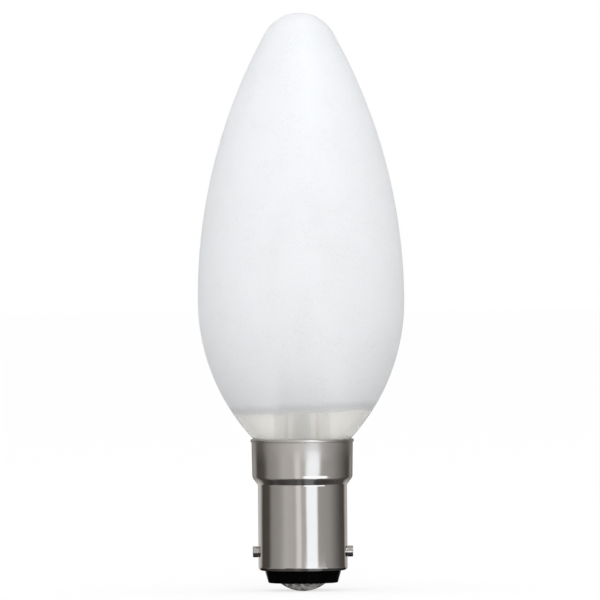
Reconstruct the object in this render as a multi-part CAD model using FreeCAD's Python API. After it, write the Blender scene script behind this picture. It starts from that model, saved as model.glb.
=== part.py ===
"""Candle lamp with an opal coat and a small bayonet cap, in millimetres.

The axis of the lamp is Z. The origin is on it, level with the lowest point of
the two end contacts, so the lamp stands upright above the plane z = 0. The
bayonet pins lie along X and the end contacts are one behind the other, along Y.
"""
import FreeCAD
import Part

import math
import os

from FreeCAD import Vector

# Overall form of the glass
OVERALL_HEIGHT = 97.9        # end contacts to the tip of the glass
BULB_DIAMETER = 35.0         # at the belly
NOSE_RADIUS = 6.6            # round end of the outline, at the tip
SHOULDER_RADIUS = 34.6       # outline from the belly down to the neck
NECK_FILLET = 4.0            # hollow bend between the shoulder and the neck
GLASS_WALL = 0.6
SEAL_DEPTH = 6.3             # rim of the cap down to the seal of neck and stem

# Cap shell, pressed from sheet
SHEET = 0.25
BARREL_DIAMETER = 15.1
BARREL_HEIGHT = 14.5         # bottom of the shell to the start of the cone
FLANGE_WIDTH = 1.05          # turned in under the barrel, round the insulator
BOTTOM_CORNER = 0.6          # outer radius of the bend at the barrel's foot
CONE_HEIGHT = 1.3
CONE_SPREAD = 0.95           # how far the skirt stands out past the barrel
CONE_LOW_BEND = 0.5
CONE_HIGH_BEND = 1.1
SKIRT_HEIGHT = 6.2
SKIRT_TAPER = 0.1            # the skirt opens by this much on the radius
RIM_BEAD = 0.31              # radius of the rolled rim

# Bayonet pins, riveted through the barrel
PIN_DIAMETER = 1.9
PIN_LENGTH = 0.95            # outside the barrel
PIN_HEIGHT = 3.2             # above the bottom of the shell
PIN_EDGE = 0.15
RIVET_SHANK = 0.65           # radius through the wall
RIVET_HEAD = 1.4             # radius of the head inside the barrel
RIVET_THICKNESS = 0.4
RIVET_ROOM = 0.15            # between the rivet heads and the insulator

# Insulator of black glass, with a boss that stands out of the shell
BOSS_HEIGHT = 2.1
BOSS_TAPER = 0.6             # less radius at the face than at the shell
BOSS_EDGE = 0.25

# End contacts
SOLDER_HEIGHT = 1.3          # how far each contact stands out of the insulator
CONTACT_GAP = 2.7            # bare insulator between the two plates
PLATE_MARGIN = 1.0           # insulator left outside each plate, on the Y axis
PLATE_END_MARGIN = 1.4       # insulator left past the ends of each plate
PLATE_THICKNESS = 0.3
SOLDER_LAP = 0.2             # solder past the edge of its plate
EYELET_ROOM = 0.2            # round the lead, inside the eyelet
EYELET_WALL = 0.25
EYELET_STAND = 0.3           # eyelet above the insulator
LEAD_IN_SOLDER = 0.8         # how deep the lead goes into the solder

# Basing cement
CEMENT_WALL = 1.65           # between the neck and the foot of the skirt
CEMENT_ABOVE_CONE = 1.4
CEMENT_BELOW_RIM = 0.5

# Stem: flared tube, flattened press, exhaust tube and arbor
BRIM_THICKNESS = 0.6
BRIM_HEIGHT = 2.5            # height over which the tube widens to its brim
STEM_TUBE_DIAMETER = 9.5
STEM_TUBE_WALL = 0.9
STEM_TUBE_HEIGHT = 11.4      # seal to the start of the press shoulder
PRESS_SHOULDER = 2.6         # height over which the tube flattens
PRESS_HEIGHT = 3.0           # flattened part
PRESS_THICKNESS = 3.0
PRESS_EDGE = 0.4
PRESS_SIDE_WALL = 1.0        # press past the outer leads, on each side
BORE_END_RADIUS = 1.2        # round end of the tube's bore, under the press
EXHAUST_DIAMETER = 3.0
EXHAUST_WALL = 0.55
EXHAUST_BELOW_SEAL = 8.0
EXHAUST_IN_PRESS = 0.9       # how far the tube goes into the press shoulder
EXHAUST_PORT = 0.5           # radius of the side hole that empties the bulb
TIP_TAPER = 2.4              # length of the drawn tip of the exhaust tube
TIP_SOLID = 1.1              # closed part of that tip
TIP_RADIUS = 0.35
ARBOR_RADIUS = 0.9
ARBOR_HEIGHT = 14.0
ARBOR_BUTTON = 1.3           # radius of the bead that holds the supports

# Wires and filament
LEAD_RADIUS = 0.25
LEAD_BEND = 1.2
LEAD_ABOVE_PRESS = 1.5       # straight run before the leads spread
LEAD_SPREAD_HEIGHT = 14.0    # over which they spread
CLAMP_WALL = 0.2
CLAMP_LENGTH = 1.6
CLAMP_BASE = 0.4
SUPPORT_RADIUS = 0.12
SUPPORT_DEPTH = 0.7          # in the button
SUPPORT_REACH = 0.6          # straight out of the button before it bends up
SUPPORT_BEND = 0.4
COIL_RADIUS = 0.35           # outer radius of the coiled filament
COIL_BEND = 1.2
FILAMENT_WIDTH = 10.0        # between its two ends
FILAMENT_TOP_WIDTH = 4.4     # between the two supports
FILAMENT_FOOT = 22.0         # ends of the filament above the press
FILAMENT_RISE = 8.0          # its top above its ends

# Clearances
FIT_GAP = 0.02               # between fitted faces that don't move
GLASS_GAP = 0.03             # between the rim and the glass that seats in it

# Heights worked out from the sizes above
FACE_Z = SOLDER_HEIGHT
SHELL_Z = FACE_Z + BOSS_HEIGHT
PIN_Z = SHELL_Z + PIN_HEIGHT
CONE_Z = SHELL_Z + BARREL_HEIGHT
SKIRT_Z = CONE_Z + CONE_HEIGHT
RIM_Z = SKIRT_Z + SKIRT_HEIGHT
INSULATOR_TOP_Z = PIN_Z - RIVET_HEAD - RIVET_ROOM
SEAL_Z = RIM_Z - SEAL_DEPTH
TUBE_TOP_Z = SEAL_Z + STEM_TUBE_HEIGHT
PRESS_Z = TUBE_TOP_Z + PRESS_SHOULDER
PRESS_TOP_Z = PRESS_Z + PRESS_HEIGHT
EXHAUST_TIP_Z = SEAL_Z - EXHAUST_BELOW_SEAL
BUTTON_Z = PRESS_TOP_Z + ARBOR_HEIGHT

# Radii worked out from the sizes above
BARREL_R = BARREL_DIAMETER / 2
BARREL_IN_R = BARREL_R - SHEET
SKIRT_R = BARREL_R + CONE_SPREAD
RIM_R = SKIRT_R + SKIRT_TAPER
BEAD_CENTRE_R = RIM_R - SHEET / 2
HOLE_R = BARREL_R - FLANGE_WIDTH
BOSS_R = HOLE_R - FIT_GAP
FACE_R = BOSS_R - BOSS_TAPER
PIN_R = PIN_DIAMETER / 2
BULB_R = BULB_DIAMETER / 2
NECK_R = SKIRT_R - SHEET - CEMENT_WALL
STEM_TUBE_R = STEM_TUBE_DIAMETER / 2
STEM_BORE_R = STEM_TUBE_R - STEM_TUBE_WALL
EXHAUST_R = EXHAUST_DIAMETER / 2

# The glass sinks into the cap until its shoulder rests in the rolled rim.
BELLY_Z = RIM_Z + math.sqrt(
    (SHOULDER_RADIUS + RIM_BEAD + GLASS_GAP) ** 2
    - (BEAD_CENTRE_R + SHOULDER_RADIUS - BULB_R) ** 2
)

# The flank is the one arc that is upright at the belly and runs into the nose.
RISE = OVERALL_HEIGHT - BELLY_Z
FLANK_RADIUS = (BULB_R ** 2 + RISE ** 2 - 2 * RISE * NOSE_RADIUS) / (2 * (BULB_R - NOSE_RADIUS))

# Leads run midway between the exhaust tube and the bore of the stem.
LEAD_X = (EXHAUST_R + STEM_BORE_R) / 2
PRESS_WIDTH = 2 * (LEAD_X + LEAD_RADIUS + PRESS_SIDE_WALL)

# Contact plates fill the insulator's face up to their margins.
PLATE_DEPTH = FACE_R - PLATE_MARGIN - CONTACT_GAP / 2
CONTACT_Y = (CONTACT_GAP + PLATE_DEPTH) / 2
PLATE_LENGTH = 2 * (math.sqrt(FACE_R ** 2 - CONTACT_Y ** 2) - PLATE_END_MARGIN)
EYELET_IN_R = LEAD_RADIUS + EYELET_ROOM
EYELET_R = EYELET_IN_R + EYELET_WALL
EYE_R = COIL_RADIUS + FIT_GAP + SUPPORT_RADIUS


def unit(vector):
    """The same direction at length one."""
    return vector / vector.Length


def corner_arc(before, corner, after, radius):
    """Start, middle and end of the arc that rounds a corner between two runs."""
    to_before = unit(before - corner)
    to_after = unit(after - corner)
    half = to_before.getAngle(to_after) / 2
    inward = unit(to_before + to_after)
    reach = radius / math.tan(half)
    middle = corner + inward * (radius / math.sin(half) - radius)
    return corner + to_before * reach, middle, corner + to_after * reach


def rounded_edges(points, radii, closed=False):
    """Straight runs between the points, with each corner rounded by its radius."""
    count = len(points)
    stops = []
    for index in range(count):
        radius = radii[index]
        is_end = not closed and index in (0, count - 1)
        if is_end or radius == 0:
            stops.append((points[index], None, points[index]))
        else:
            before = points[index - 1]
            after = points[(index + 1) % count]
            stops.append(corner_arc(before, points[index], after, radius))
    edges = []
    for index, (start, middle, end) in enumerate(stops):
        if middle is not None:
            edges.append(Part.Arc(start, middle, end).toShape())
        last = index == count - 1
        if last and not closed:
            break
        following = stops[(index + 1) % count][0]
        if (following - end).Length > 1e-7:
            edges.append(Part.LineSegment(end, following).toShape())
    return edges


def section(radius_height_pairs):
    """Points in the plane of the section, from pairs of radius and height."""
    return [Vector(radius, 0, height) for radius, height in radius_height_pairs]


def revolved(edges):
    """Solid of revolution about Z from the closed outline of its section."""
    face = Part.Face(Part.Wire(Part.sortEdges(edges)[0]))
    return one_solid(face.revolve(Vector(0, 0, 0), Vector(0, 0, 1), 360))


def turned(pairs, radii):
    """Solid of revolution from the corners of its section and their radii."""
    return revolved(rounded_edges(section(pairs), radii, closed=True))


def one_solid(shape):
    """The single solid that a shape holds, with a positive volume."""
    solid = Part.Solid(shape.Shells[0]) if not shape.Solids else shape.Solids[0]
    if solid.Volume < 0:
        solid.reverse()
    return solid


def rod(radius, start, end):
    """Round rod between two points."""
    along = end - start
    return Part.makeCylinder(radius, along.Length, start, along)


def swept(points, radius, bend):
    """Round wire along straight runs with rounded corners."""
    bends = [bend] * len(points)
    spine = Part.Wire(rounded_edges(points, bends))
    circle = Part.Circle(points[0], points[1] - points[0], radius)
    profile = Part.Wire(circle.toShape())
    return one_solid(spine.makePipeShell([profile], True, False))


def parallel(points, distance):
    """The same run of corners, moved sideways to its left by a distance."""
    runs = [unit(after - before) for before, after in zip(points, points[1:])]
    normals = [Vector(-run.z, 0, run.x) for run in runs]
    moved = []
    for index, point in enumerate(points):
        before = normals[max(index - 1, 0)]
        after = normals[min(index, len(normals) - 1)]
        across = unit(before + after)
        moved.append(point + across * (distance / across.dot(before)))
    return moved


def glass_outline(growth):
    """Edges of the glass outline from the neck to the tip, grown by a distance."""
    shoulder_centre = Vector(BULB_R - SHOULDER_RADIUS, 0, BELLY_Z)
    flank_centre = Vector(BULB_R - FLANK_RADIUS, 0, BELLY_Z)
    nose_centre = Vector(0, 0, OVERALL_HEIGHT - NOSE_RADIUS)

    # the fillet touches the neck's line and the shoulder's arc from outside
    fillet_across = NECK_R + NECK_FILLET - shoulder_centre.x
    fillet_down = math.sqrt((SHOULDER_RADIUS + NECK_FILLET) ** 2 - fillet_across ** 2)
    fillet_centre = Vector(NECK_R + NECK_FILLET, 0, BELLY_Z - fillet_down)

    neck_top = Vector(NECK_R + growth, 0, fillet_centre.z)
    to_shoulder = unit(shoulder_centre - fillet_centre)
    fillet_end = fillet_centre + to_shoulder * (NECK_FILLET - growth)
    halfway = unit(Vector(-1, 0, 0) + to_shoulder)
    fillet_middle = fillet_centre + halfway * (NECK_FILLET - growth)
    belly = Vector(BULB_R + growth, 0, BELLY_Z)
    shoulder_half = unit(unit(fillet_end - shoulder_centre) + Vector(1, 0, 0))
    shoulder_middle = shoulder_centre + shoulder_half * (SHOULDER_RADIUS + growth)
    to_nose = unit(nose_centre - flank_centre)
    flank_end = flank_centre + to_nose * (FLANK_RADIUS + growth)
    flank_half = unit(to_nose + Vector(1, 0, 0))
    flank_middle = flank_centre + flank_half * (FLANK_RADIUS + growth)
    tip = Vector(0, 0, OVERALL_HEIGHT + growth)
    nose_half = unit(to_nose + Vector(0, 0, 1))
    nose_middle = nose_centre + nose_half * (NOSE_RADIUS + growth)
    neck_foot = Vector(NECK_R + growth, 0, SEAL_Z)
    return [
        Part.LineSegment(neck_foot, neck_top).toShape(),
        Part.Arc(neck_top, fillet_middle, fillet_end).toShape(),
        Part.Arc(fillet_end, shoulder_middle, belly).toShape(),
        Part.Arc(belly, flank_middle, flank_end).toShape(),
        Part.Arc(flank_end, nose_middle, tip).toShape(),
    ]


def glass_envelope():
    """Blown candle bulb with an even wall, open at the neck."""
    outer_tip = Vector(0, 0, OVERALL_HEIGHT)
    inner_tip = Vector(0, 0, OVERALL_HEIGHT - GLASS_WALL)
    outer_foot = Vector(NECK_R, 0, SEAL_Z)
    inner_foot = Vector(NECK_R - GLASS_WALL, 0, SEAL_Z)
    ends = [
        Part.LineSegment(outer_tip, inner_tip).toShape(),
        Part.LineSegment(inner_foot, outer_foot).toShape(),
    ]
    return revolved(glass_outline(0) + glass_outline(-GLASS_WALL) + ends)


def room_for_glass():
    """The space that the glass and its clearance take up."""
    tip = Vector(0, 0, OVERALL_HEIGHT + FIT_GAP)
    centre = Vector(0, 0, SEAL_Z)
    foot = Vector(NECK_R + FIT_GAP, 0, SEAL_Z)
    ends = [
        Part.LineSegment(tip, centre).toShape(),
        Part.LineSegment(centre, foot).toShape(),
    ]
    return revolved(glass_outline(FIT_GAP) + ends)


def sheet_corners():
    """Corners of the outside of the cap shell, from the flange to the rim."""
    return section([
        (HOLE_R, SHELL_Z),
        (BARREL_R, SHELL_Z),
        (BARREL_R, CONE_Z),
        (SKIRT_R, SKIRT_Z),
        (RIM_R, RIM_Z),
    ])


def sheet_bends(inward):
    """Radii of the shell's bends on a face that lies inward of the outside."""
    return [
        0,
        BOTTOM_CORNER - inward,
        CONE_LOW_BEND + inward,
        CONE_HIGH_BEND - inward,
        0,
    ]


def cap_shell():
    """Pressed shell: turned-in flange, barrel, cone, skirt and rolled rim."""
    outside = sheet_corners()
    inside = parallel(outside, SHEET)
    edges = rounded_edges(outside, sheet_bends(0))
    edges += rounded_edges(inside, sheet_bends(SHEET))
    edges.append(Part.LineSegment(outside[0], inside[0]).toShape())
    edges.append(Part.LineSegment(outside[-1], inside[-1]).toShape())
    shell = revolved(edges)
    bead = Part.makeTorus(BEAD_CENTRE_R, RIM_BEAD, Vector(0, 0, RIM_Z))
    shell = shell.fuse(bead)
    across = Vector(BARREL_DIAMETER, 0, 0)
    pin_height = Vector(0, 0, PIN_Z)
    rivet_holes = rod(RIVET_SHANK + FIT_GAP, pin_height - across, pin_height + across)
    return one_solid(shell.cut(rivet_holes))


def bayonet_pin(side):
    """Stud outside the barrel, shank through the wall and head inside it."""
    out = Vector(side, 0, 0)
    centre = Vector(0, 0, PIN_Z)
    tip = BARREL_R + PIN_LENGTH
    head_in = BARREL_IN_R - RIVET_THICKNESS
    stud = rod(PIN_R, centre + out * BARREL_IN_R, centre + out * tip)
    rim_edges = [
        edge
        for edge in stud.Edges
        if len(edge.Vertexes) == 1 and abs(abs(edge.CenterOfMass.x) - tip) < 1e-6
    ]
    stud = stud.makeFillet(PIN_EDGE, rim_edges)
    room = Part.makeCylinder(BARREL_R + FIT_GAP, 2 * PIN_HEIGHT, Vector(0, 0, SHELL_Z))
    stud = stud.cut(room)
    head = rod(RIVET_HEAD, centre + out * head_in, centre + out * BARREL_R)
    bore = Part.makeCylinder(BARREL_IN_R - FIT_GAP, 2 * PIN_HEIGHT, Vector(0, 0, SHELL_Z))
    head = head.common(bore)
    shank = rod(RIVET_SHANK, centre + out * head_in, centre + out * (BARREL_R + PIN_LENGTH / 2))
    return one_solid(head.fuse([shank, stud]).removeSplitter())


def oval_wire(length, depth, centre):
    """Flat oval outline with round ends."""
    end_radius = depth / 2
    end_x = length / 2 - end_radius
    left = centre - Vector(end_x, 0, 0)
    right = centre + Vector(end_x, 0, 0)
    front = Vector(0, -end_radius, 0)
    back = Vector(0, end_radius, 0)
    edges = [
        Part.LineSegment(left + front, right + front).toShape(),
        Part.Arc(right + front, right + Vector(end_radius, 0, 0), right + back).toShape(),
        Part.LineSegment(right + back, left + back).toShape(),
        Part.Arc(left + back, left - Vector(end_radius, 0, 0), left + front).toShape(),
    ]
    return Part.Wire(edges)


def oval(length, depth, height, centre):
    """Flat oval block with round ends, standing up from its centre."""
    return Part.Face(oval_wire(length, depth, centre)).extrude(Vector(0, 0, height))


def contact_centre(side):
    """Middle of a contact, on the face of the insulator."""
    return Vector(0, side * CONTACT_Y, FACE_Z)


def cap_insulator():
    """Moulded black glass: boss below the shell and a plug inside it."""
    flange_top = SHELL_Z + SHEET + FIT_GAP
    plug_r = BARREL_IN_R - FIT_GAP
    body = turned(
        [
            (0, FACE_Z),
            (FACE_R, FACE_Z),
            (BOSS_R, SHELL_Z),
            (BOSS_R, flange_top),
            (plug_r, flange_top),
            (plug_r, INSULATOR_TOP_Z),
            (0, INSULATOR_TOP_Z),
        ],
        [0, BOSS_EDGE, 0, 0, BOTTOM_CORNER - SHEET - FIT_GAP, 0, 0],
    )
    for side in (-1, 1):
        centre = contact_centre(side)
        recess = oval(
            PLATE_LENGTH + 2 * FIT_GAP,
            PLATE_DEPTH + 2 * FIT_GAP,
            PLATE_THICKNESS + FIT_GAP,
            centre,
        )
        through = rod(EYELET_R + FIT_GAP, centre, centre + Vector(0, 0, INSULATOR_TOP_Z))
        body = body.cut(recess).cut(through)
    return one_solid(body)


def contact_plate(side):
    """Oval plate in the insulator's face, with an eyelet for the lead."""
    centre = contact_centre(side)
    plate = oval(PLATE_LENGTH, PLATE_DEPTH, PLATE_THICKNESS, centre)
    eyelet_top = Vector(0, side * CONTACT_Y, INSULATOR_TOP_Z + EYELET_STAND)
    eyelet = rod(EYELET_R, centre, eyelet_top)
    past = Vector(0, 0, PLATE_THICKNESS)
    bore = rod(EYELET_IN_R, centre - past, eyelet_top + past)
    return one_solid(plate.fuse(eyelet).cut(bore))


def contact_solder(side):
    """Mound of solder on a plate: the cap of a ball, squeezed along Y."""
    half_length = PLATE_LENGTH / 2 + SOLDER_LAP
    half_depth = PLATE_DEPTH / 2 + SOLDER_LAP
    ball_r = (half_length ** 2 + SOLDER_HEIGHT ** 2) / (2 * SOLDER_HEIGHT)
    squeezed_r = ball_r * half_depth / half_length
    ellipse = Part.Ellipse(Vector(0, 0, 0), ball_r, squeezed_r)
    half_outline = ellipse.toShape(-math.pi / 2, math.pi / 2)
    back = Vector(0, squeezed_r, 0)
    section_face = Part.Face(Part.Wire([half_outline, Part.makeLine(back, -back)]))
    ball = one_solid(section_face.revolve(Vector(0, 0, 0), Vector(0, 1, 0), 360))
    ball.translate(Vector(0, side * CONTACT_Y, ball_r))
    below_face = Part.makeCylinder(FACE_R + SOLDER_LAP, FACE_Z)
    return one_solid(ball.common(below_face).cut(lead_rod(side, FIT_GAP)))


def basing_cement():
    """Ring of cement between the skirt and the neck of the glass."""
    skirt_foot, skirt_top = parallel(sheet_corners(), SHEET)[-2:]
    foot = SKIRT_Z + CEMENT_ABOVE_CONE
    top = RIM_Z - CEMENT_BELOW_RIM
    widening = (skirt_top.x - skirt_foot.x) / (skirt_top.z - skirt_foot.z)
    foot_r = skirt_foot.x + widening * (foot - skirt_foot.z) - FIT_GAP
    top_r = skirt_foot.x + widening * (top - skirt_foot.z) - FIT_GAP
    plug = turned([(0, foot), (foot_r, foot), (top_r, top), (0, top)], [0, 0, 0, 0])
    return one_solid(plug.cut(room_for_glass()))


def flare_outline(inward):
    """Centre height and ends of the flare's arc, on a face inward of the outside.

    The outside is tangent to the tube and reaches the inner edge of the neck.
    """
    spread = NECK_R - GLASS_WALL - STEM_TUBE_R
    radius = (spread ** 2 + BRIM_HEIGHT ** 2) / (2 * spread)
    centre = Vector(STEM_TUBE_R + radius, 0, SEAL_Z + BRIM_HEIGHT)
    return centre, radius + inward


def stem_tube():
    """Outside of the flared tube, filled to the axis."""
    centre, radius = flare_outline(0)
    brim_r = NECK_R - GLASS_WALL
    low = SEAL_Z - BRIM_THICKNESS
    arc_end = Vector(brim_r, 0, SEAL_Z)
    halfway = unit(Vector(-1, 0, 0) + unit(arc_end - centre))
    arc = Part.Arc(Vector(STEM_TUBE_R, 0, centre.z), centre + halfway * radius, arc_end)
    corners = section([
        (brim_r, SEAL_Z),
        (NECK_R, SEAL_Z),
        (NECK_R, low),
        (0, low),
        (0, TUBE_TOP_Z),
        (STEM_TUBE_R, TUBE_TOP_Z),
        (STEM_TUBE_R, centre.z),
    ])
    bends = [0, 0, BRIM_THICKNESS / 2, 0, 0, 0, 0]
    return revolved(rounded_edges(corners, bends) + [arc.toShape()])


def stem_bore():
    """Room inside the flared tube, open below the brim."""
    centre, radius = flare_outline(STEM_TUBE_WALL)
    low = SEAL_Z - BRIM_THICKNESS
    low_r = centre.x - math.sqrt(radius ** 2 - (centre.z - low) ** 2)
    arc_end = Vector(low_r, 0, low)
    halfway = unit(Vector(-1, 0, 0) + unit(arc_end - centre))
    arc = Part.Arc(Vector(STEM_BORE_R, 0, centre.z), centre + halfway * radius, arc_end)
    corners = section([
        (low_r, low),
        (low_r, low - BRIM_THICKNESS),
        (0, low - BRIM_THICKNESS),
        (0, TUBE_TOP_Z),
        (STEM_BORE_R, TUBE_TOP_Z),
        (STEM_BORE_R, centre.z),
    ])
    bends = [0, 0, 0, 0, BORE_END_RADIUS, 0]
    return revolved(rounded_edges(corners, bends) + [arc.toShape()])


def ring_of_arcs(radius, height):
    """Circle in four quarter arcs, each facing one side of the press."""
    arcs = []
    for quarter in range(4):
        turns = [math.radians(90 * quarter + offset) for offset in (-135, -90, -45)]
        points = [Vector(radius * math.cos(t), radius * math.sin(t), height) for t in turns]
        arcs.append(Part.Arc(*points).toShape())
    return Part.Wire(arcs)


def press():
    """Shoulder where the tube flattens, and the flat press above it."""
    foot = Vector(0, 0, PRESS_Z)
    flat = oval(PRESS_WIDTH, PRESS_THICKNESS, PRESS_HEIGHT, foot)
    top_edges = [edge for edge in flat.Edges if edge.CenterOfMass.z > PRESS_TOP_Z - 1e-6]
    flat = flat.makeFillet(PRESS_EDGE, top_edges)
    outline = oval_wire(PRESS_WIDTH, PRESS_THICKNESS, foot)
    shoulder = Part.makeLoft([ring_of_arcs(STEM_TUBE_R, TUBE_TOP_Z), outline], True, True)
    return flat, one_solid(shoulder)


def exhaust_port():
    """Channel from the top of the exhaust tube out of the press shoulder."""
    height = TUBE_TOP_Z + EXHAUST_IN_PRESS + EXHAUST_PORT
    path = [
        Vector(0, 0, TUBE_TOP_Z),
        Vector(0, 0, height),
        Vector(0, -STEM_TUBE_DIAMETER, height),
    ]
    return swept(path, EXHAUST_PORT, EXHAUST_PORT)


def stem_flare():
    """Glass stem: brim, flared tube, shoulder and press, as one piece."""
    flat, shoulder = press()
    stem = stem_tube().fuse([shoulder, flat])
    socket_foot = Vector(0, 0, TUBE_TOP_Z - BORE_END_RADIUS)
    socket_top = Vector(0, 0, TUBE_TOP_Z + EXHAUST_IN_PRESS)
    openings = [stem_bore(), rod(EXHAUST_R + FIT_GAP, socket_foot, socket_top), exhaust_port()]
    for side in (-1, 1):
        foot = Vector(side * LEAD_X, 0, TUBE_TOP_Z - BORE_END_RADIUS)
        top = Vector(side * LEAD_X, 0, PRESS_TOP_Z + PRESS_EDGE)
        openings.append(rod(LEAD_RADIUS + FIT_GAP, foot, top))
    return one_solid(stem.cut(openings))


def exhaust_tube():
    """Tube that emptied the bulb, drawn to a closed tip inside the cap."""
    top = TUBE_TOP_Z + EXHAUST_IN_PRESS
    bore_r = EXHAUST_R - EXHAUST_WALL
    taper_z = EXHAUST_TIP_Z + TIP_TAPER
    return turned(
        [
            (0, EXHAUST_TIP_Z),
            (TIP_RADIUS, EXHAUST_TIP_Z),
            (EXHAUST_R, taper_z),
            (EXHAUST_R, top),
            (bore_r, top),
            (bore_r, taper_z),
            (0, EXHAUST_TIP_Z + TIP_SOLID),
        ],
        [0, TIP_RADIUS / 2, EXHAUST_R, 0, 0, 0, 0],
    )


def glass_arbor():
    """Rod on the press, with a bead of glass that holds the supports."""
    button = Vector(0, 0, BUTTON_Z)
    arbor = rod(ARBOR_RADIUS, Vector(0, 0, PRESS_TOP_Z), button)
    arbor = arbor.fuse(Part.makeSphere(ARBOR_BUTTON, button))
    for side in (-1, 1):
        arbor = arbor.cut(support_rod(side, FIT_GAP))
    return one_solid(arbor)


def filament_corners():
    """Corners of the filament, from its left end over the supports."""
    foot = PRESS_TOP_Z + FILAMENT_FOOT
    top = foot + FILAMENT_RISE
    return section([
        (-FILAMENT_WIDTH / 2, foot),
        (-FILAMENT_TOP_WIDTH / 2, top),
        (FILAMENT_TOP_WIDTH / 2, top),
        (FILAMENT_WIDTH / 2, foot),
    ])


def filament():
    """Coiled filament, as the round outside of its coil."""
    return swept(filament_corners(), COIL_RADIUS, COIL_BEND)


def filament_end(side):
    """End of the filament on one side and its direction there."""
    corners = filament_corners()
    if side > 0:
        corners.reverse()
    return corners[0], unit(corners[1] - corners[0])


def clamp_foot(side):
    """Closed end of the clamp that the filament's end stands in."""
    end, along = filament_end(side)
    return end - along * (CLAMP_BASE + FIT_GAP)


def lead_rod(side, growth):
    """A lead without its clamp, from its contact up to the filament's end."""
    contact = Vector(0, side * CONTACT_Y, 0)
    beside_tube = Vector(side * LEAD_X, 0, 0)
    end = clamp_foot(side) + filament_end(side)[1] * (CLAMP_BASE / 2)
    spread_z = PRESS_TOP_Z + LEAD_ABOVE_PRESS
    path = [
        contact + Vector(0, 0, FACE_Z - LEAD_IN_SOLDER - growth),
        contact + Vector(0, 0, INSULATOR_TOP_Z + EYELET_STAND + LEAD_BEND),
        beside_tube + Vector(0, 0, EXHAUST_TIP_Z),
        beside_tube + Vector(0, 0, spread_z),
        Vector(end.x, 0, spread_z + LEAD_SPREAD_HEIGHT),
        end,
    ]
    return swept(path, LEAD_RADIUS + growth, LEAD_BEND)


def lead_wire(side):
    """Lead from an end contact, through the press, to its filament clamp."""
    foot = clamp_foot(side)
    along = filament_end(side)[1]
    bore_r = COIL_RADIUS + FIT_GAP
    clamp = rod(bore_r + CLAMP_WALL, foot, foot + along * CLAMP_LENGTH)
    bore = rod(bore_r, foot + along * CLAMP_BASE, foot + along * (2 * CLAMP_LENGTH))
    return one_solid(lead_rod(side, 0).fuse(clamp).cut(bore))


def support_eye(side):
    """Centre of a support's eye, the way down from it and the eye's axis."""
    corners = filament_corners()
    if side > 0:
        corners.reverse()
    start, centre, end = corner_arc(corners[0], corners[1], corners[2], COIL_BEND)
    down = unit(unit(corners[0] - corners[1]) + unit(corners[2] - corners[1]))
    return centre, down, end - start


def support_rod(side, growth):
    """A support wire from inside the button up to the foot of its eye."""
    centre, down, _ = support_eye(side)
    path = [
        Vector(side * (ARBOR_BUTTON - SUPPORT_DEPTH - growth), 0, BUTTON_Z),
        Vector(side * (ARBOR_BUTTON + SUPPORT_REACH), 0, BUTTON_Z),
        centre + down * EYE_R,
    ]
    return swept(path, SUPPORT_RADIUS + growth, SUPPORT_BEND)


def filament_support(side):
    """Support wire with an eye that the filament passes through."""
    centre, _, axis = support_eye(side)
    eye = Part.makeTorus(EYE_R, SUPPORT_RADIUS, centre, axis)
    return one_solid(support_rod(side, 0).fuse(eye))


def all_parts():
    """Every piece of the lamp under the name of its file."""
    parts = {
        "cap_shell": cap_shell(),
        "cap_insulator": cap_insulator(),
        "basing_cement": basing_cement(),
        "glass_envelope": glass_envelope(),
        "stem_flare": stem_flare(),
        "exhaust_tube": exhaust_tube(),
        "glass_arbor": glass_arbor(),
        "filament": filament(),
    }
    for side, hand, place in ((-1, "left", "front"), (1, "right", "rear")):
        parts["bayonet_pin_" + hand] = bayonet_pin(side)
        parts["lead_wire_" + hand] = lead_wire(side)
        parts["filament_support_" + hand] = filament_support(side)
        parts["contact_plate_" + place] = contact_plate(side)
        parts["contact_solder_" + place] = contact_solder(side)
    return parts


def main():
    os.makedirs("parts", exist_ok=True)
    for name, solid in all_parts().items():
        solid.exportStep("parts/" + name + ".step")
        print(name, solid.isValid(), round(solid.Volume, 2))


main()
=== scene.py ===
"""Looks of an opal candle lamp: coated glass, plated cap and soldered contacts in a white studio.

The axis of the lamp is Z and it stands on z = 0. Lengths are in metres, and MM turns a size
given in millimetres into metres.
"""

import bisect
import math

import bpy
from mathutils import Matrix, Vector


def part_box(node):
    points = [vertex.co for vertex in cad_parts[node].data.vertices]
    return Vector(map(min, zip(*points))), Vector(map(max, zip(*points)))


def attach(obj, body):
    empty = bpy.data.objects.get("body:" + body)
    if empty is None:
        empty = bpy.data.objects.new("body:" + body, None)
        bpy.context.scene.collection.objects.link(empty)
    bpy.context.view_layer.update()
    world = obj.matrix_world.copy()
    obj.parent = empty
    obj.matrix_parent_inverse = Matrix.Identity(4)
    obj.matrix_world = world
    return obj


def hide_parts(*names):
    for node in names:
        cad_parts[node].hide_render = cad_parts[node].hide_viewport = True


MM = 0.001

# Photograph
PHOTO_SIDE = 600             # pixels
PIXELS_PER_MM = 5.9
FOOT_PIXEL = (303.3, 590.3)  # where the axis meets z = 0

# Camera
CAMERA_DISTANCE = 1.3
CAMERA_ROLL = math.radians(0.45)  # it makes the lamp lean to the left
SENSOR_WIDTH = 36.0
NEAR_CLIP = 0.05
FAR_CLIP = 100.0

# Glass, with the outline of its CAD solid
BELLY_HEIGHT = 49.206 * MM
SHOULDER_RADIUS = 34.6 * MM
NOSE_RADIUS = 6.6 * MM
NECK_RADIUS = 6.6 * MM
NECK_FILLET = 4.0 * MM
GLASS_WALL = 0.6 * MM
OUTLINE_STEP = 0.05 * MM
GLASS_SEGMENTS = 160
GLASS_RINGS = 150

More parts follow.
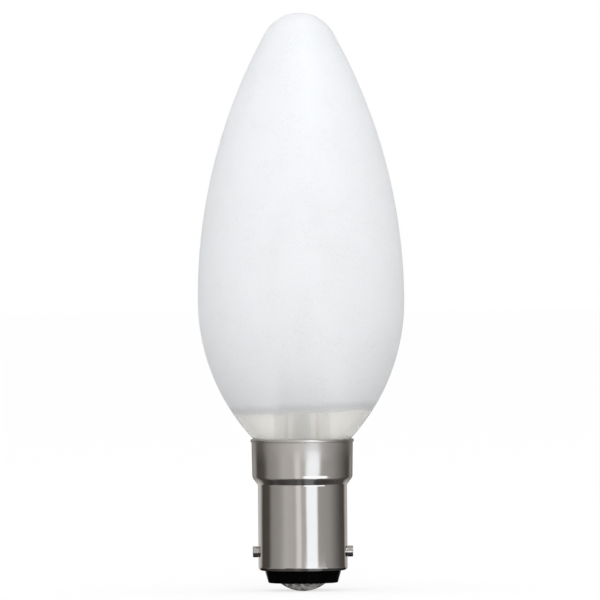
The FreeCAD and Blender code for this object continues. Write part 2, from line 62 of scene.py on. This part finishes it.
# Clear glass
GLASS_TINT = (0.985, 0.985, 0.98, 1.0)
STEM_TINT = (0.86, 0.86, 0.85, 1.0)
TUBE_TINT = (0.72, 0.73, 0.76, 1.0)
WAVE_LENGTH = 9 * MM
GLASS_WAVINESS = 0.01 * MM
STEM_WAVINESS = 0.02 * MM

# Satin coat
COAT_FOOT = 32.2 * MM        # above it the coat hides the glass
COAT_THIN = 31.1 * MM        # from here to the bare height it thins out
COAT_BARE = 29.4 * MM
COAT_TILT = 0.035            # its edge is higher on the right
COAT_WANDER = 0.9 * MM       # of its edge, up and down
WANDER_LENGTH = 3 * MM
COAT_CLEARNESS = 0.3
COAT_ROUGHNESS = 0.38
COAT_GLOW = 0.3              # share of the coat that is lit from behind
COAT_WHITE = (0.91, 0.92, 0.94, 1.0)
CLOUD_WHITE = (0.865, 0.88, 0.90, 1.0)
GRAIN_WHITE = (0.845, 0.855, 0.875, 1.0)
SPECK_GREY = (0.78, 0.79, 0.80, 1.0)
CLOUD_SIZE = 7 * MM
PATCH_SIZE = 5 * MM          # of the patches with specks
GRAIN_SIZE = 0.35 * MM
GRAIN_DEPTH = 0.008 * MM
SPECK_SIZE = 0.22 * MM

# Neck, where the coat thins out into hazy glass
NECK_CLEARNESS = 0.45
NECK_ROUGHNESS = 0.16
NECK_GRAIN_DEPTH = 0.006 * MM
HAZE_DARK = (0.90, 0.89, 0.85, 1.0)
HAZE_PALE = (0.97, 0.96, 0.93, 1.0)
HAZE_SIZE = 4 * MM
# Painted shade: the coat is greyed to a darker band just above where it thins out
EDGE_SHADE_SHARE = 0.4           # painted shade: share of grey put on the coat where it starts to thin out
EDGE_SHADE_GREY = 0.5
NECK_VEIL = (0.93, 0.92, 0.90, 1.0)  # what the hazy glass lets through of the light
COAT_VEIL = 0.1              # and the coat

# Plate of the cap, which is duller on the skirt than on the barrel
CONE_FOOT = 17.9 * MM
CONE_TOP = 19.2 * MM
SKIRT_MIDDLE = 21.0 * MM
SKIRT_TOP = 25.0 * MM
BARREL_ROUGHNESS = 0.07
SKIRT_ROUGHNESS = 0.15
RIM_DULLING = 0.15           # added to the roughness towards the top of the skirt
BARREL_SWELL = 0.05 * MM
SKIRT_SWELL = 0.22 * MM
LEAN_FOOT = 23.2 * MM        # from here up the skirt's reflections lean upwards
LEAN_TOP = 27.0 * MM
LEAN_DEPTH = 0.2 * MM
PLATE_DARK = (0.62, 0.60, 0.585, 1.0)
PLATE_PALE = (0.67, 0.65, 0.635, 1.0)
SKIRT_EDGE_SHADE = 0.5        # painted shade: dims what the skirt mirrors at a grazing angle
PLATE_HAZE_SIZE = 2.5 * MM
HAZE_DULLING = 0.03          # added to the roughness where the haze is densest
SWELL_LENGTH = 7 * MM
MARK_SIZE = 0.6 * MM
MARK_DEPTH = 0.0015 * MM

# Black glass of the insulator
BLACK_DEEP = (0.0006, 0.0005, 0.0005, 1.0)
BLACK_PALE = (0.0018, 0.0015, 0.0014, 1.0)
BLACK_SKIN_SIZE = 0.8 * MM
BLACK_SKIN_DEPTH = 0.02 * MM

# Solder
SOLDER_DARK = (0.30, 0.29, 0.28, 1.0)
SOLDER_PALE = (0.80, 0.78, 0.76, 1.0)
PIT_BROWN = (0.06, 0.055, 0.05, 1.0)
MOTTLE_SIZE = 0.7 * MM
PIT_SIZE = 0.9 * MM
SOLDER_DEPTH = 0.15 * MM

# Wires and plates: the dark and the pale colour of each metal's skin, and its roughness
BRASS = ((0.62, 0.45, 0.20, 1.0), (0.75, 0.57, 0.29, 1.0), 0.3)
COPPER = ((0.65, 0.33, 0.22, 1.0), (0.80, 0.47, 0.34, 1.0), 0.28)
MOLYBDENUM = ((0.40, 0.39, 0.38, 1.0), (0.55, 0.54, 0.53, 1.0), 0.35)
TUNGSTEN = ((0.16, 0.16, 0.17, 1.0), (0.28, 0.28, 0.29, 1.0), 0.4)
WIRE_SKIN_SIZE = 0.5 * MM
WIRE_SKIN_DEPTH = 0.01 * MM
WIRE_DULLING = 0.12          # added to the roughness where the skin is dullest

# Cement
CEMENT_DARK = (0.38, 0.34, 0.28, 1.0)
CEMENT_PALE = (0.58, 0.54, 0.47, 1.0)
SAND_SIZE = 0.3 * MM
SAND_DEPTH = 0.08 * MM

# A noise lies mostly between these
NOISE_LOW = 0.3
NOISE_HIGH = 0.7

# Studio
FLOOR_SIZE = 60.0
WALL_RADIUS = 1.0            # of the bright wall round the lamp that mirrors see
WALL_HEIGHT = 4.0
# Painted shade: the ground card is dim near the lamp, where the floor lies in shade, and the cap mirrors it
DARK_START = 13 * MM         # of the ground near the lamp, which gets brighter
DARK_END = 27 * MM           # up to here
DARK_SHARE = 0.16            # of the wall's light
POOL_START = 24 * MM         # of the bright card on the ground
POOL_END = 100 * MM
POOL_LEFT = 4                # azimuths of its ends
POOL_RIGHT = 58
POOL_LIGHT = 1.6
POOL_WARMTH = -0.03
CARD_STEP = 4                # degrees to each facet of a card
CARD_LIFT = 0.002 * MM       # of the bright card above the ground
GROUND_START = 0.1 * MM
FLOOR_DROP = 0.01 * MM

# Light of the floor: its reflectance for the lamps' light, and what is seen of it
FLOOR_REFLECTANCE = 0.36
FLOOR_SHADE = 0.25
FLOOR_GLOW = 0.68

# Light of the surroundings, which falls from the sides to the top
SKY_SIDE = 1.46
SKY_TOP = 1.09
SKY_BEND = 0.2               # sine of the height where it starts to fall

# Key lamp
KEY_AZIMUTH = 2
KEY_DISTANCE = 1.83
KEY_HEIGHT = 0.38
KEY_SIDE = 0.9
KEY_WATTS = 15.5
AIM_HEIGHT = 60 * MM

# Heights on the wall: no level is above DIM_LEVEL from DIM_END to WINDOW_START, and above that
# the highlight shines like a window
DIM_START = 0.05
DIM_END = 0.16
DIM_LEVEL = 0.4
FULL_LEVEL = 1.1             # above every level in WALL_STEPS
WINDOW_START = 0.5
WINDOW_OPEN = 0.8            # from here up the levels are whole again
WINDOW_END = 0.9             # from here up the window has all its light
WINDOW_LIGHT = 2.2

# Colour of the wall, which is warmest in its dark parts and cool in its highlight
DARK_LEVEL = 0.1             # lower levels belong to the dark parts
HIGHLIGHT_LEVEL = 0.8        # higher ones belong to the highlight
DARK_WARMTH = 0.13
WALL_WARMTH = 0.03
HIGHLIGHT_WARMTH = -0.04

# Light of the wall by azimuth, as a share of WALL_LIGHT. Azimuth 0 is towards the camera and
# 90 to the right.
WALL_LIGHT = 1.4
WALL_STEPS = (
    (-180, 0.45),
    (-166, 0.30),
    (-152, 0.50),
    (-137, 0.36),
    (-126, 0.05),
    (-98, 0.06),
    (-86, 0.22),
    (-60, 0.28),
    (-44, 0.41),
    (-20, 0.39),
    (-14, 0.62),
    (-7, 0.66),
    (-2, 0.41),
    (7, 0.41),
    (12, 1.00),
    (36, 1.00),
    (41, 0.31),
    (72, 0.26),
    (100, 0.12),
    (112, 0.07),
    (132, 0.05),
    (142, 0.34),
    (152, 0.40),
    (166, 0.27),
    (180, 0.45),
)


class Graph:
    """The nodes of one material or world, with short calls that add and link them."""

    def __init__(self, owner):
        owner.use_nodes = True
        self.owner = owner
        self.tree = owner.node_tree
        self.tree.nodes.clear()

    def add(self, kind, inputs=None, output=0, **settings):
        """Adds a node, sets or links its inputs, and returns one of its outputs."""
        node = self.tree.nodes.new(kind)
        for name, value in settings.items():
            setattr(node, name, value)
        for name, value in (inputs or {}).items():
            if isinstance(value, bpy.types.NodeSocket):
                self.tree.links.new(value, node.inputs[name])
            else:
                node.inputs[name].default_value = value
        return node.outputs[output] if node.outputs else node

    def math(self, operation, first, second=0.0, third=0.0):
        """One step of arithmetic."""
        return self.add("ShaderNodeMath", {0: first, 1: second, 2: third}, operation=operation)

    def ramp(self, value, low, high, to_low=0.0, to_high=1.0):
        """Turns the range from low to high into another one, smoothly and clamped."""
        return self.add(
            "ShaderNodeMapRange",
            {"Value": value, "From Min": low, "From Max": high, "To Min": to_low, "To Max": to_high},
            interpolation_type="SMOOTHSTEP",
        )

    def blend(self, factor, first, second):
        """Colour between two others."""
        node = self.tree.nodes.new("ShaderNodeMix")
        node.data_type = "RGBA"
        for name, value in (("Factor", factor), ("A", first), ("B", second)):
            socket = next(s for s in node.inputs if s.name == name and s.enabled)
            if isinstance(value, bpy.types.NodeSocket):
                self.tree.links.new(value, socket)
            else:
                socket.default_value = value
        return next(s for s in node.outputs if s.enabled)

    def place(self, stretch=(1.0, 1.0, 1.0)):
        """Place on the object, in metres, stretched along each axis."""
        coordinates = self.tree.nodes.new("ShaderNodeTexCoord").outputs["Object"]
        return self.add("ShaderNodeMapping", {"Vector": coordinates, "Scale": stretch})

    def along(self, axis, place=None):
        """One coordinate of a place, where 0 is X, 1 is Y and 2 is Z."""
        vector = self.place() if place is None else place
        return self.add("ShaderNodeSeparateXYZ", {0: vector}, output=axis)

    def noise(self, size, detail=2.0, stretch=(1.0, 1.0, 1.0), roughness=0.5):
        """Cloudy pattern with features of about that size, from 0 to 1."""
        return self.add(
            "ShaderNodeTexNoise",
            {"Vector": self.place(stretch), "Scale": 1 / size, "Detail": detail, "Roughness": roughness},
        )

    def spread(self, noise, low, high):
        """Spreads the values of a noise from low to high."""
        return self.ramp(noise, NOISE_LOW, NOISE_HIGH, low, high)

    def bump(self, height, depth=1.0):
        """Normal of a surface that rises by depth where the height is 1."""
        return self.add("ShaderNodeBump", {"Height": height, "Distance": depth})

    def light_path(self, *kinds):
        """1 on a ray of any of these kinds, and 0 on others."""
        path = self.tree.nodes.new("ShaderNodeLightPath")
        found = path.outputs[kinds[0]]
        for kind in kinds[1:]:
            found = self.math("MAXIMUM", found, path.outputs[kind])
        return found

    def mixed(self, factor, first, second):
        """Shader between two others."""
        return self.add("ShaderNodeMixShader", {0: factor, 1: first, 2: second})

    def finish(self, surface):
        """Gives the surface to the output."""
        in_world = isinstance(self.owner, bpy.types.World)
        self.add("ShaderNodeOutputWorld" if in_world else "ShaderNodeOutputMaterial", {"Surface": surface})
        return self.owner


def new_graph(name):
    """Graph of a new material."""
    return Graph(bpy.data.materials.new(name))


def grey(level, warm=0.0):
    """Nearly grey colour; warm adds red and takes blue."""
    return (level * (1 + warm), level, level * (1 - warm), 1.0)


def glass_material(name, tint, waviness):
    """Clear glass that lets the studio light through to what it holds."""
    graph = new_graph(name)
    waves = graph.noise(WAVE_LENGTH, detail=1.0, stretch=(1.0, 1.0, 0.5))
    normal = graph.bump(waves, waviness)
    glass = graph.add("ShaderNodeBsdfGlass", {"Color": tint, "Roughness": 0.0, "IOR": 1.5, "Normal": normal})
    clear = graph.add("ShaderNodeBsdfTransparent", {"Color": tint})
    through = graph.light_path("Is Shadow Ray", "Is Diffuse Ray")
    return graph.finish(graph.mixed(through, glass, clear))


def satin_colour(graph):
    """Cool white with faint clouds and patches of finer grains, and the grains alone."""
    clouds = graph.noise(CLOUD_SIZE, detail=3.0)
    grains = graph.noise(GRAIN_SIZE)
    specks = graph.noise(SPECK_SIZE, detail=1.0)
    white = graph.blend(clouds, CLOUD_WHITE, COAT_WHITE)
    powder = graph.blend(graph.ramp(grains, low=0.35, high=0.65, to_high=0.5), white, GRAIN_WHITE)
    patches = graph.ramp(graph.noise(PATCH_SIZE), low=0.42, high=0.62)
    dense = graph.ramp(specks, low=0.56, high=0.66, to_high=0.7)
    speckled = graph.math("MULTIPLY", dense, patches)
    return graph.blend(speckled, powder, SPECK_GREY), grains


def satin_material():
    """White satin coat on the glass, lit from both sides, which shows a trace of the mount."""
    graph = new_graph("satin")
    powder, grains = satin_colour(graph)
    front = graph.add(
        "ShaderNodeBsdfPrincipled",
        {"Base Color": powder, "Roughness": COAT_ROUGHNESS, "IOR": 1.45,
         "Transmission Weight": COAT_CLEARNESS, "Normal": graph.bump(grains, GRAIN_DEPTH)},
    )
    through = graph.add("ShaderNodeBsdfTranslucent", {"Color": powder})
    return graph.finish(graph.mixed(COAT_GLOW, front, through))


def neck_material():
    """Hazy glass of the neck, into which the coat thins out, with painted shade darkening the coat just
    above its thin edge.
    """
    graph = new_graph("neck_glass")
    powder, grains = satin_colour(graph)
    place = graph.place()
    level = graph.math("MULTIPLY_ADD", graph.along(0, place), -COAT_TILT, graph.along(2, place))
    level = graph.math("MULTIPLY_ADD", graph.noise(WANDER_LENGTH), COAT_WANDER, level)
    thin = graph.ramp(level, COAT_BARE + COAT_WANDER / 2, COAT_THIN + COAT_WANDER / 2, 1.0, 0.0)
    # Painted shade: grey darkens the coat in a band above where it thins out
    painted_edge_shade = graph.ramp(level, COAT_THIN, COAT_FOOT + COAT_WANDER / 2, EDGE_SHADE_SHARE, 0.0)
    coat = graph.blend(painted_edge_shade, powder, grey(EDGE_SHADE_GREY))
    haze = graph.blend(graph.noise(HAZE_SIZE), HAZE_DARK, HAZE_PALE)
    skin = graph.add(
        "ShaderNodeBsdfPrincipled",
        {"Base Color": graph.blend(thin, coat, haze), "IOR": 1.5,
         "Roughness": graph.ramp(thin, 0.0, 1.0, COAT_ROUGHNESS, NECK_ROUGHNESS),
         "Transmission Weight": graph.ramp(thin, 0.0, 1.0, COAT_CLEARNESS, NECK_CLEARNESS),
         "Normal": graph.bump(grains, NECK_GRAIN_DEPTH)},
    )
    through = graph.add("ShaderNodeBsdfTranslucent", {"Color": coat})
    skin = graph.mixed(graph.ramp(thin, 0.0, 1.0, COAT_GLOW, 0.0), skin, through)
    veil = graph.blend(thin, grey(COAT_VEIL), NECK_VEIL)
    passed = graph.add("ShaderNodeBsdfTransparent", {"Color": veil})
    return graph.finish(graph.mixed(graph.light_path("Is Shadow Ray", "Is Diffuse Ray"), skin, passed))


def nickel_material():
    """Nickel plate: bright on the barrel, softer on the skirt, with faint haze and fine marks, and painted
    shade that dims the skirt's grazing reflections.
    """
    graph = new_graph("nickel_plate")
    haze = graph.noise(PLATE_HAZE_SIZE, detail=3.0)
    marks = graph.noise(MARK_SIZE, stretch=(0.15, 0.15, 4.0))
    waves = graph.noise(SWELL_LENGTH, detail=1.0, stretch=(1.0, 1.0, 0.8))
    colour = graph.blend(haze, PLATE_DARK, PLATE_PALE)
    height = graph.along(2)
    softness = graph.ramp(height, CONE_FOOT, CONE_TOP, BARREL_ROUGHNESS, SKIRT_ROUGHNESS)
    dulling = graph.ramp(height, SKIRT_MIDDLE, SKIRT_TOP, 0.0, RIM_DULLING)
    roughness = graph.math("MULTIPLY_ADD", haze, HAZE_DULLING, graph.math("ADD", softness, dulling))
    swell = graph.math("MULTIPLY", waves, graph.ramp(height, CONE_FOOT, CONE_TOP, BARREL_SWELL, SKIRT_SWELL))
    lean = graph.ramp(height, LEAN_FOOT, LEAN_TOP, 0.0, -LEAN_DEPTH)
    relief = graph.math("ADD", graph.math("MULTIPLY_ADD", marks, MARK_DEPTH, swell), lean)
    # Painted shade: the skirt's grazing reflections are dimmed
    tint = graph.blend(graph.ramp(height, CONE_FOOT, CONE_TOP), grey(1.0), grey(SKIRT_EDGE_SHADE))
    metal = graph.add(
        "ShaderNodeBsdfPrincipled",
        {"Base Color": colour, "Metallic": 1.0, "Roughness": roughness, "Specular Tint": tint,
         "Normal": graph.bump(relief)},
    )
    return graph.finish(metal)


def black_glass_material():
    """Moulded black glass, glossy with a faintly uneven skin."""
    graph = new_graph("black_glass")
    skin = graph.noise(BLACK_SKIN_SIZE)
    glass = graph.add(
        "ShaderNodeBsdfPrincipled",
        {"Base Color": graph.blend(skin, BLACK_DEEP, BLACK_PALE), "IOR": 1.45,
         "Roughness": graph.spread(skin, 0.12, 0.25), "Specular IOR Level": 0.08,
         "Normal": graph.bump(skin, BLACK_SKIN_DEPTH)},
    )
    return graph.finish(glass)


def solder_material():
    """Dull mottled solder with dark pits."""
    graph = new_graph("solder")
    mottle = graph.noise(MOTTLE_SIZE, detail=4.0, roughness=0.65)
    pits = graph.ramp(graph.noise(PIT_SIZE, detail=1.0), low=0.58, high=0.66)
    mottled = graph.blend(graph.ramp(mottle, low=0.38, high=0.62), SOLDER_DARK, SOLDER_PALE)
    height = graph.math("SUBTRACT", mottle, pits)
    metal = graph.add(
        "ShaderNodeBsdfPrincipled",
        {"Base Color": graph.blend(pits, mottled, PIT_BROWN), "Metallic": 0.5,
         "Roughness": graph.spread(mottle, 0.3, 0.5), "Normal": graph.bump(height, SOLDER_DEPTH)},
    )
    return graph.finish(metal)


def wire_material(name, dark, pale, roughness):
    """Drawn metal with a slightly uneven skin."""
    graph = new_graph(name)
    skin = graph.noise(WIRE_SKIN_SIZE, detail=3.0)
    metal = graph.add(
        "ShaderNodeBsdfPrincipled",
        {"Base Color": graph.blend(skin, dark, pale), "Metallic": 1.0,
         "Roughness": graph.spread(skin, roughness, roughness + WIRE_DULLING),
         "Normal": graph.bump(skin, WIRE_SKIN_DEPTH)},
    )
    return graph.finish(metal)


def cement_material():
    """Baked cement, matt and sandy."""
    graph = new_graph("cement")
    sand = graph.noise(SAND_SIZE, detail=4.0, roughness=0.7)
    cement = graph.add(
        "ShaderNodeBsdfPrincipled",
        {"Base Color": graph.blend(sand, CEMENT_DARK, CEMENT_PALE), "Roughness": 0.9,
         "Normal": graph.bump(sand, SAND_DEPTH)},
    )
    return graph.finish(cement)


def give(material, *nodes):
    """Puts one material on the whole of each of these CAD nodes."""
    for name in nodes:
        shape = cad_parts[name]
        for material_slot in shape.material_slots:
            material_slot.material = material
        for face in shape.data.polygons:
            face.use_smooth = True


def mesh_object(name, points, faces, material):
    """A new smooth-shaded piece."""
    mesh = bpy.data.meshes.new(name)
    mesh.from_pydata([tuple(point) for point in points], [], faces)
    mesh.materials.append(material)
    mesh.shade_smooth()
    shape = bpy.data.objects.new(name, mesh)
    bpy.context.scene.collection.objects.link(shape)
    return shape


def arc(centre, radius, start, end):
    """Points from start to end on an arc, as pairs of radius and height."""
    count = max(2, math.ceil(abs(end - start) * radius / OUTLINE_STEP))
    turns = [start + (end - start) * index / count for index in range(count + 1)]
    return [centre + radius * Vector((math.cos(turn), math.sin(turn))) for turn in turns]


def glass_outline(inset):
    """Outline of a face of the glass, inset from the outside, from the neck's foot to the tip."""
    low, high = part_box("glass_envelope")
    belly_radius, tip, foot = high.x, high.z, low.z
    rise = tip - BELLY_HEIGHT
    spread = belly_radius ** 2 + rise ** 2 - 2 * rise * NOSE_RADIUS
    flank_radius = spread / (2 * (belly_radius - NOSE_RADIUS))
    shoulder = Vector((belly_radius - SHOULDER_RADIUS, BELLY_HEIGHT))
    flank = Vector((belly_radius - flank_radius, BELLY_HEIGHT))
    nose = Vector((0, tip - NOSE_RADIUS))
    across = NECK_RADIUS + NECK_FILLET - shoulder.x
    down = math.sqrt((SHOULDER_RADIUS + NECK_FILLET) ** 2 - across ** 2)
    fillet = Vector((NECK_RADIUS + NECK_FILLET, BELLY_HEIGHT - down))
    low_turn = math.atan2(-down, across)
    high_turn = math.atan2(nose.y - flank.y, nose.x - flank.x)
    return [
        Vector((NECK_RADIUS - inset, foot)),
        *arc(fillet, NECK_FILLET + inset, math.pi, math.pi + low_turn),
        *arc(shoulder, SHOULDER_RADIUS - inset, low_turn, 0)[1:],
        *arc(flank, flank_radius - inset, 0, high_turn)[1:],
        *arc(nose, NOSE_RADIUS - inset, high_turn, math.pi / 2)[1:],
    ]


def walk(outline):
    """Distance along an outline at each of its points."""
    walked = [0.0]
    for before, after in zip(outline, outline[1:]):
        walked.append(walked[-1] + (after - before).length)
    return walked


def point_at(outline, walked, distance):
    """Point of an outline at a distance along it."""
    index = min(max(bisect.bisect_right(walked, distance) - 1, 0), len(outline) - 2)
    share = (distance - walked[index]) / (walked[index + 1] - walked[index])
    return outline[index].lerp(outline[index + 1], share)


def glass_face(inset):
    """Points of one face of the glass, in rings and the tip, and the ring at the coat's foot."""
    outline = glass_outline(inset)
    walked = walk(outline)
    points = []
    foot_ring = 0
    for ring in range(GLASS_RINGS):
        radius, height = point_at(outline, walked, walked[-1] * ring / GLASS_RINGS)
        if height < COAT_FOOT:
            foot_ring = ring
        for segment in range(GLASS_SEGMENTS):
            turn = 2 * math.pi * segment / GLASS_SEGMENTS
            points.append((radius * math.cos(turn), radius * math.sin(turn), height))
    points.append((0, 0, outline[-1].y))
    return points, foot_ring


def face_quads(offset, first_ring, last_ring, inside_out):
    """Faces between two rings of a face of the glass, and up to the tip."""
    quads = []
    for ring in range(first_ring, last_ring):
        low = offset + ring * GLASS_SEGMENTS
        for segment in range(GLASS_SEGMENTS):
            after = (segment + 1) % GLASS_SEGMENTS
            if ring == GLASS_RINGS - 1:
                quad = [low + segment, low + after, offset + GLASS_RINGS * GLASS_SEGMENTS]
            else:
                high = low + GLASS_SEGMENTS
                quad = [low + segment, low + after, high + after, high + segment]
            quads.append(quad[::-1] if inside_out else quad)
    return quads


def glass_bulb():
    """The glass as one closed shell: hazy at the neck and satin above the coat's foot."""
    outer, outer_foot = glass_face(0)
    inner, _ = glass_face(GLASS_WALL)
    offset = len(outer)
    rim = []
    for segment in range(GLASS_SEGMENTS):
        after = (segment + 1) % GLASS_SEGMENTS
        rim.append([after, segment, offset + segment, offset + after])
    inside = rim + face_quads(offset, 0, GLASS_RINGS, True)
    neck = face_quads(0, 0, outer_foot, False)
    satin = face_quads(0, outer_foot, GLASS_RINGS, False)
    clear = glass_material("clear_glass", GLASS_TINT, GLASS_WAVINESS)
    bulb = mesh_object("glass_bulb", outer + inner, inside + neck + satin, clear)
    bulb.data.materials.append(neck_material())
    bulb.data.materials.append(satin_material())
    slots = [0] * len(inside) + [1] * len(neck) + [2] * len(satin)
    bulb.data.polygons.foreach_set("material_index", slots)
    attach(bulb, "root")
    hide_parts("glass_envelope")


def dress_cad_nodes():
    """Gives every CAD node its finish."""
    give(glass_material("stem_glass", STEM_TINT, STEM_WAVINESS), "stem_flare", "glass_arbor")
    give(glass_material("tube_glass", TUBE_TINT, STEM_WAVINESS), "exhaust_tube")
    give(nickel_material(), "cap_shell", "bayonet_pin_left", "bayonet_pin_right")
    give(black_glass_material(), "cap_insulator")
    give(solder_material(), "contact_solder_front", "contact_solder_rear")
    give(wire_material("brass", *BRASS), "contact_plate_front", "contact_plate_rear")
    give(wire_material("copper", *COPPER), "lead_wire_left", "lead_wire_right")
    give(wire_material("molybdenum", *MOLYBDENUM), "filament_support_left", "filament_support_right")
    give(wire_material("tungsten", *TUNGSTEN), "filament")
    give(cement_material(), "basing_cement")


def only_in_reflections(card):
    """Keeps a stage card out of everything but mirrors."""
    card.visible_camera = False
    card.visible_diffuse = False
    card.visible_transmission = False
    card.visible_shadow = False


def around(azimuth, distance, height):
    """Point round the lamp; azimuth 0 is towards the camera and 90 to the right."""
    turn = math.radians(azimuth)
    return Vector((distance * math.sin(turn), -distance * math.cos(turn), height))


def wall_colour(level):
    """Colour of one level of the wall."""
    if level < DARK_LEVEL:
        return grey(level, DARK_WARMTH)
    return grey(level, WALL_WARMTH if level < HIGHLIGHT_LEVEL else HIGHLIGHT_WARMTH)


def wall_steps(graph, place):
    """Colour of the wall by azimuth."""
    right = graph.along(0, place)
    front = graph.math("MULTIPLY", graph.along(1, place), -1.0)
    turn = graph.math("ARCTAN2", right, front)
    share = graph.math("MULTIPLY_ADD", turn, 1 / (2 * math.pi), 0.5)
    colour = graph.add("ShaderNodeValToRGB", {"Fac": share})
    steps = colour.node.color_ramp.elements
    while len(steps) < len(WALL_STEPS):
        steps.new(1.0)
    for step, (azimuth, _) in zip(steps, WALL_STEPS):
        step.position = azimuth / 360 + 0.5
    for step, (_, level) in zip(steps, WALL_STEPS):
        step.color = wall_colour(level)
    return colour


def wall_material():
    """Light of the wall and of the ground below it, which changes round the lamp; near the lamp the ground
    is dim, painted shade that the cap mirrors.
    """
    graph = new_graph("wall_light")
    place = graph.place()
    steps = wall_steps(graph, place)
    height = graph.along(2, place)
    low_ceiling = graph.ramp(height, DIM_START, DIM_END, FULL_LEVEL, DIM_LEVEL)
    high_ceiling = graph.ramp(height, WINDOW_START, WINDOW_OPEN, 0.0, FULL_LEVEL)
    ceiling = graph.math("MAXIMUM", low_ceiling, high_ceiling)
    colour = graph.add("ShaderNodeVectorMath", {0: steps, 1: ceiling}, operation="MINIMUM")
    distance = graph.add("ShaderNodeVectorMath", {0: place}, output=1, operation="LENGTH")
    # Painted shade: the ground is dim near the lamp
    ground_light_with_painted_shade = graph.ramp(distance, DARK_START, DARK_END, DARK_SHARE * WALL_LIGHT, WALL_LIGHT)
    highlight = graph.ramp(steps, HIGHLIGHT_LEVEL, 1.0, 0.0, WINDOW_LIGHT)
    window = graph.math("MULTIPLY", graph.ramp(height, WINDOW_START, WINDOW_END), highlight)
    strength = graph.math("ADD", ground_light_with_painted_shade, window)
    return graph.finish(graph.add("ShaderNodeEmission", {"Color": colour, "Strength": strength}))


def pool_material():
    """Even white light of the bright card on the ground."""
    graph = new_graph("pool_light")
    light = graph.add("ShaderNodeEmission", {"Color": grey(1.0, POOL_WARMTH), "Strength": POOL_LIGHT})
    return graph.finish(light)


def strip_card(name, rows, material, start=-180, end=180):
    """Card between two rows that run round the lamp, each given by its distance and height."""
    count = max(1, round((end - start) / CARD_STEP))
    azimuths = [start + (end - start) * index / count for index in range(count + 1)]
    points = [around(azimuth, *row) for azimuth in azimuths for row in rows]
    faces = [[2 * i, 2 * i + 1, 2 * i + 3, 2 * i + 2] for i in range(count)]
    only_in_reflections(mesh_object(name, points, faces, material))


def make_cards():
    """Cards round the lamp and on the ground, which give the plated cap its bands."""
    wall = wall_material()
    pool_rows = ((POOL_START, CARD_LIFT), (POOL_END, CARD_LIFT))
    strip_card("wall", ((WALL_RADIUS, 0), (WALL_RADIUS, WALL_HEIGHT)), wall)
    strip_card("ground", ((GROUND_START, 0), (WALL_RADIUS, 0)), wall)
    strip_card("pool", pool_rows, pool_material(), POOL_LEFT, POOL_RIGHT)


def make_floor():
    """Pale floor that shows white where no shadow falls."""
    graph = new_graph("floor")
    matt = graph.add("ShaderNodeBsdfDiffuse", {"Color": grey(FLOOR_REFLECTANCE)})
    shaded = graph.add("ShaderNodeBsdfDiffuse", {"Color": grey(FLOOR_SHADE)})
    glow = graph.add("ShaderNodeEmission", {"Color": grey(1.0), "Strength": FLOOR_GLOW})
    lifted = graph.add("ShaderNodeAddShader", {0: shaded, 1: glow})
    seen = graph.light_path("Is Camera Ray", "Is Glossy Ray", "Is Transmission Ray")
    material = graph.finish(graph.mixed(seen, matt, lifted))
    half = FLOOR_SIZE / 2
    corners = [(-half, -half, 0), (half, -half, 0), (half, half, 0), (-half, half, 0)]
    floor = mesh_object("studio_floor", corners, [[0, 1, 2, 3]], material)
    floor.location.z = -FLOOR_DROP


def make_world():
    """White surroundings; as a source of light they fade towards the top."""
    world = bpy.data.worlds.new("studio")
    bpy.context.scene.world = world
    graph = Graph(world)
    direction = graph.tree.nodes.new("ShaderNodeTexCoord").outputs["Generated"]
    light = graph.ramp(graph.along(2, direction), SKY_BEND, 1.0, SKY_SIDE, SKY_TOP)
    seen = graph.light_path("Is Camera Ray", "Is Glossy Ray", "Is Transmission Ray")
    lighting = graph.add("ShaderNodeBackground", {"Color": grey(1.0), "Strength": light})
    white = graph.add("ShaderNodeBackground", {"Color": grey(1.0), "Strength": 1.0})
    graph.finish(graph.mixed(seen, lighting, white))


def make_key():
    """Large soft key lamp from above the camera."""
    lamp = bpy.data.lights.new("key", "AREA")
    lamp.size = KEY_SIDE
    lamp.energy = KEY_WATTS
    shape = bpy.data.objects.new("key", lamp)
    shape.location = around(KEY_AZIMUTH, KEY_DISTANCE, KEY_HEIGHT)
    shape.rotation_mode = "QUATERNION"
    shape.rotation_quaternion = (Vector((0, 0, AIM_HEIGHT)) - shape.location).to_track_quat("-Z", "Y")
    shape.visible_camera = False
    shape.visible_glossy = False
    shape.visible_transmission = False
    bpy.context.scene.collection.objects.link(shape)


def make_camera():
    """Level camera whose frame is the photograph's."""
    frame_width = PHOTO_SIDE / PIXELS_PER_MM * MM
    camera = bpy.data.cameras.new("camera")
    camera.sensor_width = SENSOR_WIDTH
    camera.lens = SENSOR_WIDTH * CAMERA_DISTANCE / frame_width
    camera.clip_start = NEAR_CLIP
    camera.clip_end = FAR_CLIP
    shape = bpy.data.objects.new("camera", camera)
    across = (PHOTO_SIDE / 2 - FOOT_PIXEL[0]) / PIXELS_PER_MM * MM
    up = (FOOT_PIXEL[1] - PHOTO_SIDE / 2) / PIXELS_PER_MM * MM
    centre_x = across * math.cos(CAMERA_ROLL) + up * math.sin(CAMERA_ROLL)
    centre_z = up * math.cos(CAMERA_ROLL) - across * math.sin(CAMERA_ROLL)
    shape.location = (centre_x, -CAMERA_DISTANCE, centre_z)
    shape.rotation_euler = (math.pi / 2, CAMERA_ROLL, 0)
    bpy.context.scene.collection.objects.link(shape)
    bpy.context.scene.camera = shape


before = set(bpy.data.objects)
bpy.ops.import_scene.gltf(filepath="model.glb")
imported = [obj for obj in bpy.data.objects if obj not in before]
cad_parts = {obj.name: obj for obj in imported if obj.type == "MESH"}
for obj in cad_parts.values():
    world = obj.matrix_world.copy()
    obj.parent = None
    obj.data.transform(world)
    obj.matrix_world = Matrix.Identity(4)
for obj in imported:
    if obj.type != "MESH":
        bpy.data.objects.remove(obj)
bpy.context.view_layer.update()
bpy.context.scene.view_settings.view_transform = "Standard"
make_camera()
make_world()
make_key()
make_cards()
make_floor()
dress_cad_nodes()
glass_bulb()
